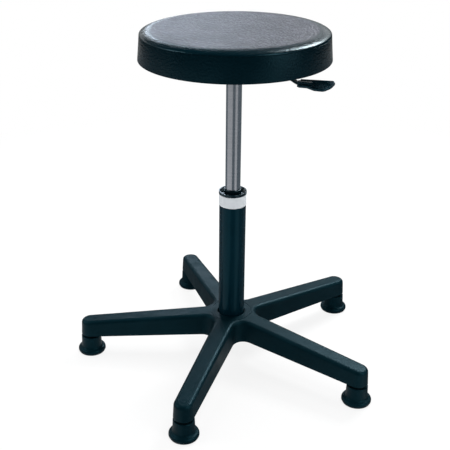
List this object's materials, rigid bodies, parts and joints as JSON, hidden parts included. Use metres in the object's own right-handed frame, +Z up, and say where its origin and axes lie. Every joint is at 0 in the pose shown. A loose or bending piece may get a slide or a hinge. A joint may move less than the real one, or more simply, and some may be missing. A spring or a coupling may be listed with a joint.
{
  "type": "height-adjustable workshop stool",
  "caption": "Round padded workshop seat on a gas lift with a side lever, standing on a star base with bell-shaped glides.",
  "frame": {"origin": "on the floor, under the axis of the column", "axes": "+Z up along the column; +X towards the height lever's paddle; -Y along the front arm of the base"},
  "size_m": [0.5898, 0.5635, 0.65],
  "materials": {
    "moulded_nylon": "satin, slightly pitted",
    "black_plastic": "satin",
    "gloss_black_plastic": "glossy",
    "plated_steel": "zinc plated, satin",
    "ground_steel": "fine ground",
    "seal_rubber": "matt",
    "gloss_black_paint": "gloss powder coat",
    "black_steel": "satin powder coat",
    "label_film": "plain pale film",
    "plywood": "birch ply, stained black",
    "grained_upholstery": "black, pebble grained, with a sheen"
  },
  "bodies": {
    "base": {"star_base": "moulded_nylon", "glide_1": "moulded_nylon", "glide_2": "moulded_nylon", "glide_3": "moulded_nylon", "glide_4": "moulded_nylon", "glide_5": "moulded_nylon", "glide_stems": "plated_steel", "glide_grip_rings": "plated_steel", "stand_tube": "gloss_black_paint", "tube_end_plate": "plated_steel", "guide_bush": "black_plastic", "tube_collar": "black_plastic", "column_label": "label_film", "lower_bearing_race": "plated_steel"},
    "ball_cage": {"bearing_cage": "black_plastic", "bearing_balls": "plated_steel"},
    "rod": {"piston_rod": "ground_steel", "piston": "black_plastic", "piston_seal": "seal_rubber", "piston_nut": "plated_steel", "upper_bearing_race": "plated_steel", "rod_buffer": "seal_rubber", "rod_washer": "plated_steel", "rod_clip": "plated_steel"},
    "seat": {"pressure_cylinder": "ground_steel", "inner_tube": "ground_steel", "cylinder_guide": "black_plastic", "rod_seal": "seal_rubber", "valve_body": "black_plastic", "valve_seals": "seal_rubber", "seat_housing": "black_steel", "taper_socket": "plated_steel", "seat_board": "plywood", "tee_nuts": "plated_steel", "plate_bolts": "plated_steel", "plate_washers": "plated_steel", "pivot_pin": "plated_steel", "pivot_clips": "plated_steel", "seat_pad": "grained_upholstery"},
    "lever": {"lever_bar": "black_steel", "lever_grip": "gloss_black_plastic"},
    "pin": {"valve_pin": "plated_steel"}
  },
  "joints": [
    {"name": "seat_swivel", "type": "hinge", "parent": "base", "child": "rod", "pos_m": [0, 0, 0.0436], "axis": [0, 0, 1], "continuous": true},
    {"name": "cage_turn", "type": "hinge", "parent": "base", "child": "ball_cage", "pos_m": [0, 0, 0.0436], "axis": [0, 0, 1], "continuous": true},
    {"name": "height_lift", "type": "slide", "parent": "rod", "child": "seat", "axis": [0, 0, 1], "range_m": [-0.2, 0]},
    {"name": "lever_lift", "type": "hinge", "parent": "seat", "child": "lever", "pos_m": [0.03, 0, 0.5885], "axis": [0, -1, 0], "range_deg": [0, 6], "stiffness_Nm_per_rad": 1},
    {"name": "valve_press", "type": "slide", "parent": "seat", "child": "pin", "axis": [0, 0, 1], "range_m": [-0.0034, 0]}
  ],
  "couplings": [
    {"joint": "cage_turn", "follows": "seat_swivel", "ratio": 0.5},
    {"joint": "valve_press", "follows": "lever_lift", "m_per_rad": -0.031}
  ]
}
